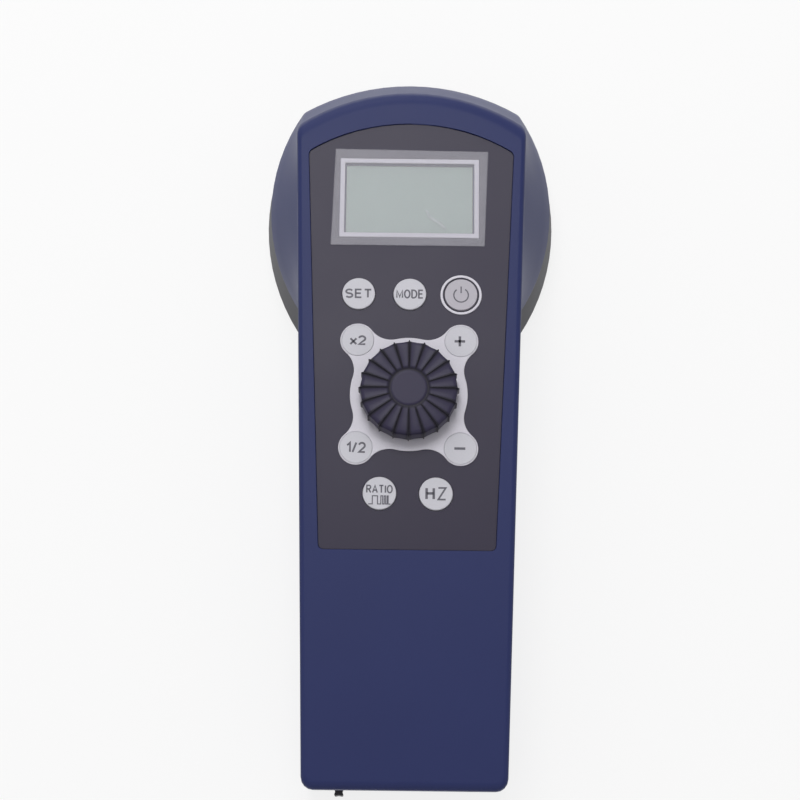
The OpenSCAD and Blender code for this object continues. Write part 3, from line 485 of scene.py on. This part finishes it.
def dip(f):
    side = min(1, f / RIB_SHARE, (1 - f) / RIB_SHARE)
    step = side * side * (3 - 2 * side)
    return STEP_SHARE * step + (1 - STEP_SHARE) * math.sin(math.pi * f)


def fluted_ring(radius, z, cut_in, cut_down):
    ring = []
    for rib in range(RIBS):
        for f in across:
            a = math.pi / 2 + 2 * math.pi * (rib + f) / RIBS
            r = radius - cut_in * dip(f)
            ring.append(Vector((dial_centre.x + r * math.cos(a), dial_centre.y + r * math.sin(a),
                                z - cut_down * dip(f))))
    return ring


def skin(rings, name):
    form = bmesh.new()
    loops = [[form.verts.new(p) for p in ring] for ring in rings]
    count = len(loops[0])
    for low, high in zip(loops, loops[1:]):
        for i in range(count):
            form.faces.new((low[i], low[(i + 1) % count], high[(i + 1) % count], high[i]))
    form.faces.new(list(reversed(loops[0])))
    form.faces.new(loops[-1])
    bmesh.ops.recalc_face_normals(form, faces=form.faces)
    return piece_from(form, name)


print("points in a ring", RIBS * len(across))

# %% [markdown]
# The rings go up the skirt, round the shoulder in a quarter turn, and over the top into the
# groove and on to the disc. Each ring of the top is given by its distance outside the disc's
# edge, its drop below the top, the share of the flutes' depth and its painted shade. The last six
# rings have no flutes. Painted shade beside the ribs and in the groove is kept as an attribute
# called rib, which the material reads.

# %% The dial
DISC_R = 5.9 * MM
SHOULDER = 1.8 * MM
SHOULDER_STEPS = 6
DOWN_SHARE = 0.7
PLAIN_RINGS = 6
PAINTED_SHADE_REACH = 0.24
rings = [fluted_ring(DIAL_R - inset * MM, dial_low.z + rise * MM, RIB_DEPTH * flute, 0)
         for inset, rise, flute in ((1.3, 0, 0), (0.2, 0.4, 1), (0, 0.9, 1))]
for k in range(SHOULDER_STEPS + 1):
    a = math.pi / 2 * k / SHOULDER_STEPS
    rings.append(fluted_ring(
        DIAL_R - SHOULDER * (1 - math.cos(a)), DIAL_TOP - SHOULDER * (1 - math.sin(a)),
        RIB_DEPTH * (1 - DOWN_SHARE + DOWN_SHARE * math.cos(a)),
        RIB_DEPTH * DOWN_SHARE * math.sin(a)))
# Painted shade: a share of darkening for each ring, highest in the groove, where shade falls.
painted_shade_by_ring = [0.0] * len(rings)
for out, drop, flute, dark in (
        (6, 0, 0.65, 0), (2.2, 0.05, 0.55, 0), (1.7, 0.12, 0.45, 0), (1.3, 0.3, 0.25, 0.35),
        (1.0, 0.55, 0.1, 0.7), (0.7, 0.75, 0, 0.9), (0.4, 0.8, 0, 0.9), (0.1, 0.74, 0, 0.5),
        (-0.2, 0.62, 0, 0), (-0.5, 0.6, 0, 0), (-0.9, 0.6, 0, 0)):
    rings.append(fluted_ring(DISC_R + out * MM, DIAL_TOP - drop * MM, 0, RIB_DEPTH * flute))
    painted_shade_by_ring.append(dark)
dial = skin(rings, "fluted_dial")
shade_smooth(dial, math.radians(60))
# Painted shade: the mask darkens the skin beside each rib and in the groove, where shade falls.
painted_shade_mask = dial.data.attributes.new("rib", "FLOAT", "POINT")
for ring, dark in enumerate(painted_shade_by_ring):
    for k in range(RIBS * len(across)):
        f = across[k % len(across)]
        shade_beside_rib = (PAINTED_SHADE_REACH - min(f, 1 - f)) / (PAINTED_SHADE_REACH - RIB_SHARE)
        shade_beside_rib = min(1, max(0, shade_beside_rib)) if ring < len(rings) - PLAIN_RINGS else 0
        painted_shade_mask.data[ring * RIBS * len(across) + k].value = max(shade_beside_rib, dark)
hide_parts("dial_knob")
finish_piece(dial, "dial_knob", dial_abs)
print("dial", round(2 * DIAL_R / MM, 1), "mm across,", len(dial.data.polygons), "faces")

# %% [markdown]
# ## The words on the keys
# Pad printing leaves a flat, thin layer of dark grey ink, and each word says only what its key
# does. A font would give letters of its own proportions, but these differ in width and weight
# from key to key, so each letter is a few strokes in a box one unit high: straight lines and
# parts of ellipses. The ink is a little uneven, over some 0.7 mm, where the pad lifted it.

# %% The ink
WEAR_MM = 0.7
INK_MM = 0.02
key_ink, tree = new_material("pad-printing ink")
place = add(tree, "ShaderNodeTexCoord").outputs["Object"]
wear = add(tree, "ShaderNodeTexNoise", {"Vector": place, "Scale": 1 / (WEAR_MM * MM),
           "Detail": 3.0})
ink = add(tree, "ShaderNodeMix", {"Factor": wear.outputs["Fac"], COLOUR_A: linear("#44424c"),
          COLOUR_B: linear("#5c5a66")}, data_type="RGBA")
shader = add(tree, "ShaderNodeBsdfPrincipled", {"Base Color": ink.outputs[COLOUR_OUT],
             "Roughness": 0.5})
add(tree, "ShaderNodeOutputMaterial", {"Surface": shader.outputs["BSDF"]})


# %% The letters
def bend(cx, cy, rx, ry, start, end, parts=9):
    turns = [math.radians(start + (end - start) * k / parts) for k in range(parts + 1)]
    return [(cx + rx * math.cos(t), cy + ry * math.sin(t)) for t in turns]


# Each letter: its width, then its strokes in a box of that width and height 1.
LETTERS = {
    "S": (0.6, [bend(0.3, 0.75, 0.3, 0.25, 25, 270) + bend(0.3, 0.25, 0.3, 0.25, 80, -155)]),
    "E": (0.54, [[(0.54, 1), (0, 1), (0, 0), (0.54, 0)], [(0, 0.52), (0.48, 0.52)]]),
    "T": (0.62, [[(0, 1), (0.62, 1)], [(0.31, 1), (0.31, 0)]]),
    "M": (0.76, [[(0, 0), (0, 1), (0.38, 0.1), (0.76, 1), (0.76, 0)]]),
    "O": (0.7, [bend(0.35, 0.5, 0.35, 0.5, 0, 360, 20)]),
    "D": (0.64, [[(0, 0), (0, 1), (0.2, 1)] + bend(0.24, 0.5, 0.4, 0.5, 80, -80)
                 + [(0.2, 0), (0, 0)]]),
    "R": (0.58, [[(0, 0), (0, 1), (0.26, 1)] + bend(0.3, 0.75, 0.26, 0.25, 80, -80)
                 + [(0.26, 0.5), (0, 0.5)], [(0.28, 0.5), (0.58, 0)]]),
    "A": (0.68, [[(0, 0), (0.34, 1), (0.68, 0)], [(0.12, 0.34), (0.56, 0.34)]]),
    "I": (0.0, [[(0, 0), (0, 1)]]),
    "H": (0.64, [[(0, 0), (0, 1)], [(0.64, 0), (0.64, 1)], [(0, 0.52), (0.64, 0.52)]]),
    "Z": (0.6, [[(0, 1), (0.6, 1), (0, 0), (0.6, 0)]]),
    "x": (0.56, [[(0, 0), (0.56, 0.72)], [(0, 0.72), (0.56, 0)]]),
    "1": (0.3, [[(0, 0.74), (0.14, 0.82), (0.3, 1), (0.3, 0)]]),
    "2": (0.6, [bend(0.3, 0.7, 0.29, 0.3, 165, -35) + [(0.02, 0), (0.6, 0)]]),
    "/": (0.36, [[(0, -0.02), (0.36, 1.02)]]),
    "+": (1.0, [[(0, 0.5), (1, 0.5)], [(0.5, 0), (0.5, 1)]]),
    "-": (1.0, [[(0, 0.5), (1, 0.5)]]),
}
print("letters", len(LETTERS))

# %% [markdown]
# A stroke is a ribbon with a thin wall round it: two points on each side of every point of its
# path, one just inside the key and one 0.02 mm above it. At a corner the side points lie on the
# line that halves the angle, and further out the sharper it is, up to a limit. A curve with a
# bevel would be quicker, but it gives a round wire. The ink moves with its key.

# %% The strokes
MITRE_LIMIT = 0.35
ROUND = (0, 1, 3, 2)    # The four corners of a stroke's section, in order round it.


def key_top(key):
    low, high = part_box(key)
    return Vector(((low.x + high.x) / 2, (low.y + high.y) / 2, high.z))


def print_lines(name, key, lines, stroke_mm):
    centre = key_top(key)
    form = bmesh.new()
    for line in lines:
        points = [Vector((x, y, 0)) for x, y in line]
        ends = []
        for i, p in enumerate(points):
            before = (p - points[i - 1]).normalized() if i else None
            after = (points[i + 1] - p).normalized() if i + 1 < len(points) else None
            a, b = before or after, after or before
            side = Vector((-a.y - b.y, a.x + b.x, 0))
            side = side / max(side.length_squared / 2, MITRE_LIMIT) * stroke_mm / 2
            ends.append([form.verts.new(centre + (p + s * side + Vector((0, 0, h))) * MM)
                         for s in (1, -1) for h in (-INK_MM, INK_MM)])
        for a, b in zip(ends, ends[1:]):
            for i, j in zip(ROUND, ROUND[1:] + ROUND[:1]):
                form.faces.new((a[i], a[j], b[j], b[i]))
        form.faces.new([ends[0][i] for i in ROUND])
        form.faces.new([ends[-1][i] for i in reversed(ROUND)])
    bmesh.ops.recalc_face_normals(form, faces=form.faces)
    return finish_piece(piece_from(form, name), key, key_ink)


def print_word(name, key, text, width_mm, height_mm, stroke_mm, right_mm=0.0, up_mm=0.0, space=0.3):
    wide, high = width_mm - stroke_mm, height_mm - stroke_mm
    total = sum(LETTERS[c][0] for c in text) + space * (len(text) - 1)
    lines, x = [], 0
    for letter in text:
        letter_width, strokes = LETTERS[letter]
        for stroke in strokes:
            lines.append([(right_mm + ((x + u) / total - 0.5) * wide, up_mm + (v - 0.5) * high)
                          for u, v in stroke])
        x += letter_width + space
    return print_lines(name, key, lines, stroke_mm)


# Each word: its width, height and stroke in millimetres, and its move from the key's middle.
words = [
    print_word("set_word", "set_key", "SET", 9.1, 3.4, 0.62),
    print_word("mode_word", "mode_key", "MODE", 9.3, 3.25, 0.54),
    print_word("times_two_word", "double_key", "x2", 5.7, 3.5, 0.68, space=0.22),
    print_word("one_half_word", "half_key", "1/2", 6.6, 3.8, 0.66, space=0.26),
    print_word("plus_sign", "plus_key", "+", 4.4, 4.4, 0.85, right_mm=-0.35),
    print_word("minus_sign", "minus_key", "-", 4.5, 0.95, 0.85, right_mm=-0.2),
    print_word("hertz_word_h", "hertz_key", "H", 3.2, 4.5, 0.84, right_mm=-1.9),
    print_word("hertz_word_z", "hertz_key", "Z", 3.0, 4.5, 0.58, right_mm=2.0),
    print_word("ratio_word", "ratio_key", "RATIO", 8.8, 2.9, 0.48, up_mm=1.35),
]
print("words", len(words))

# %% [markdown]
# The power sign and the pulse sign are made with the same strokes. The power sign is a circle
# that is open at its top, with a short line through the opening. The pulse sign is one wide
# pulse and three narrow ones on a line, for the count of flashes in a turn.

# %% The power sign
POWER_R = 2.45
POWER_DROP = 0.2
OPENING = 34
ARC_STEP = 9
arc = [(POWER_R * math.sin(math.radians(a)), POWER_R * math.cos(math.radians(a)) - POWER_DROP)
       for a in range(OPENING, 361 - OPENING, ARC_STEP)]
print_lines("power_sign", "power_key", [arc, [(0, 0.5), (0, 2.9)]], 0.46)

# %% The pulse sign
PULSE_LOW, PULSE_HIGH = -3.7, -0.95
PULSE_LEFT, PULSE_RIGHT = -3.6, 3.7
pulse = [(PULSE_LEFT, PULSE_LOW)]
for x0, x1 in ((-2.3, -0.6), (0.5, 1.1), (1.6, 2.05), (2.55, 2.9)):
    pulse += [(x0, PULSE_LOW), (x0, PULSE_HIGH), (x1, PULSE_HIGH), (x1, PULSE_LOW)]
pulse.append((PULSE_RIGHT, PULSE_LOW))
print_lines("pulse_sign", "ratio_key", [pulse], 0.36)
print("points in the pulse sign", len(pulse))

# %% [markdown]
# ## The film over the display
# New instruments come with a thin film over the window. It is cut a little larger than the
# display's frame and laid on slightly askew, so it shows as a paler band round the frame. Its
# milky look comes from scattering, so it is part transparent and part white, with a soft gloss.
# Its crease has a painted highlight: the film is a little whiter where an attribute called fold
# says.

# %% The film's material
MILK_MM = 9
MILK_LEAST, MILK_MOST = 0.175, 0.215
FOLD_PAINTED_HIGHLIGHT = 0.14
film_sheet, tree = new_material("milky polyethylene film")
place = add(tree, "ShaderNodeTexCoord").outputs["Object"]
milk = add(tree, "ShaderNodeTexNoise", {"Vector": place, "Scale": 1 / (MILK_MM * MM),
           "Detail": 3.0})
cover = add(tree, "ShaderNodeMapRange", {"Value": milk.outputs["Fac"], "To Min": MILK_LEAST,
            "To Max": MILK_MOST})
painted_fold_highlight = add(tree, "ShaderNodeAttribute", attribute_name="fold")
# Painted highlight: the film's cover rises along the crease, so that the crease reads whiter, as if
# lit.
cover = add(tree, "ShaderNodeMath", {0: painted_fold_highlight.outputs["Fac"], 1: FOLD_PAINTED_HIGHLIGHT,
            2: cover.outputs["Result"]}, operation="MULTIPLY_ADD")
shader = add(tree, "ShaderNodeBsdfPrincipled", {"Base Color": linear("#cfcdd8"),
             "Alpha": cover.outputs[0], "Roughness": 0.35, "IOR": 1.5})
add(tree, "ShaderNodeOutputMaterial", {"Surface": shader.outputs["BSDF"]})

# %% [markdown]
# The film is a fine grid over its four corners. It was cut by hand, so they are given one by
# one, in millimetres from the film's middle. The grid follows a few shallow waves and rises by
# 0.04 mm along a crease low on the right, and is thickened to 0.08 mm.

# %% The film
FILM_MM = 0.08
FILM_LIFT_MM = 0.02
FOLD_RISE_MM = 0.04
FOLD_WIDTH = 0.45 * MM
film_low, film_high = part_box("screen_film")
film_centre = (film_low + film_high) / 2
corners = [Vector(c) * MM for c in ((-26.68, -17.71), (25.79, -17.67),
                                    (-25.58, 17.45), (26.96, 16.93))]
crease = [Vector(c) * MM for c in ((6.0, -5.2), (7.2, -7.6), (10.4, -9.4), (12.2, -11.2))]


def distance_to(line, p):
    gaps = []
    for a, b in zip(line, line[1:]):
        t = max(0.0, min(1.0, (p - a).dot(b - a) / (b - a).length_squared))
        gaps.append((p - a.lerp(b, t)).length)
    return min(gaps)


form = bmesh.new()
bmesh.ops.create_grid(form, x_segments=130, y_segments=88, size=0.5)
fold_of = form.verts.layers.float.new("fold")
for v in form.verts:
    x, y = v.co.x, v.co.y
    low, high = corners[0].lerp(corners[1], x + 0.5), corners[2].lerp(corners[3], x + 0.5)
    flat = low.lerp(high, y + 0.5)
    wave = 0.015 * math.sin(9 * x + 4 * y) + 0.01 * math.sin(14 * y - 5 * x)
    fold = math.exp(-(distance_to(crease, flat) / FOLD_WIDTH) ** 2)
    v[fold_of] = fold
    height = FILM_LIFT_MM + abs(wave) + FOLD_RISE_MM * fold
    v.co = film_centre + Vector((flat.x, flat.y, height * MM))
film = piece_from(form, "display_film")
thick = film.modifiers.new("thick", "SOLIDIFY")
thick.thickness, thick.offset = FILM_MM * MM, 0
apply_modifiers(film)
shade_smooth(film)
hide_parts("screen_film")
finish_piece(film, "screen_film", film_sheet)
print("film", [round(d / MM, 1) for d in film.dimensions])

# %% [markdown]
# ## The studio
# The instrument lies on white paper in a light tent. To the camera, in reflections and through
# clear pieces the tent is white, and to all other rays it is only 0.37 as bright, so that the
# background is white while the colours keep their depth. Light Path tells the rays apart. To the
# same rays the paper shines by itself for a share of 0.8 and is lit for the rest, so it is white
# and still shows the instrument's shadow. It lies 0.05 mm below the case's back, because two
# faces in one plane would flicker.

# %% The paper and the tent
FLOOR_SIZE = 8
FLOOR_DROP = 0.05 * MM
PAPER_GLOW = 0.8
TENT_LIGHT = 0.37


def seen_directly(tree):
    path = add(tree, "ShaderNodeLightPath")
    seen = path.outputs["Is Camera Ray"]
    for ray in ("Is Glossy Ray", "Is Transmission Ray"):
        either = add(tree, "ShaderNodeMath", {0: seen, 1: path.outputs[ray]}, operation="MAXIMUM")
        seen = either.outputs[0]
    return seen


paper, tree = new_material("white paper sweep")
white = add(tree, "ShaderNodeBsdfDiffuse", {"Color": linear("#f4f4f4")})
glow = add(tree, "ShaderNodeEmission", {"Color": linear("#ffffff"), "Strength": 1.0})
share = add(tree, "ShaderNodeMath", {0: seen_directly(tree), 1: PAPER_GLOW}, operation="MULTIPLY")
surface = add(tree, "ShaderNodeMixShader", {0: share.outputs[0], 1: white.outputs[0],
              2: glow.outputs[0]})
add(tree, "ShaderNodeOutputMaterial", {"Surface": surface.outputs[0]})
bpy.ops.mesh.primitive_plane_add(size=FLOOR_SIZE)
floor = bpy.context.object
floor.name = "paper_floor"
floor.location.z = -FLOOR_DROP
floor.data.materials.append(paper)

world = bpy.data.worlds.new("light tent")
bpy.context.scene.world = world
world.use_nodes = True
tree = world.node_tree
tree.nodes.clear()
strength = add(tree, "ShaderNodeMath", {0: seen_directly(tree), 1: 1 - TENT_LIGHT,
               2: TENT_LIGHT}, operation="MULTIPLY_ADD")
tent = add(tree, "ShaderNodeBackground", {"Color": linear("#ffffff"),
           "Strength": strength.outputs[0]})
add(tree, "ShaderNodeOutputWorld", {"Surface": tent.outputs[0]})
print("floor", floor.name, "world", world.name)

# %% [markdown]
# Five square lamps shape the light. The main one hangs above the table beyond the head, so that
# the head is the brightest and the handle's end the darkest. One low behind the head lights its
# arched end. A large weak one in front keeps the handle's end from going black, and one on each
# side lights the head's flanks, the left one twice as strongly as the right.

# %% The lamps
LAMP_AIM = Vector((0, 0.03, 0.03))
# Each lamp: its place and its width in metres, and its power in watts.
LAMPS = {
    "head_lamp": ((-0.1, 0.5, 1.05), 0.5, 5.4),
    "back_lamp": ((-0.2, 1.15, 0.55), 0.6, 2.5),
    "front_lamp": ((0.1, -0.9, 0.8), 1.2, 1.3),
    "left_lamp": ((-1.0, 0.1, 0.7), 1.0, 1.2),
    "right_lamp": ((1.0, 0.1, 0.7), 1.0, 0.6),
}
for name, (place, width, watts) in LAMPS.items():
    data = bpy.data.lights.new(name, "AREA")
    data.shape, data.size, data.energy = "SQUARE", width, watts
    lamp = bpy.data.objects.new(name, data)
    lamp.location = place
    lamp.rotation_euler = (LAMP_AIM - lamp.location).to_track_quat("-Z", "Y").to_euler()
    bpy.context.scene.collection.objects.link(lamp)
print("lamps", len(LAMPS))

# %% [markdown]
# ## Finish
# The view transform is Standard, so that a colour leaves the renderer as it was written.

# %% The view transform
bpy.context.scene.view_settings.view_transform = "Standard"
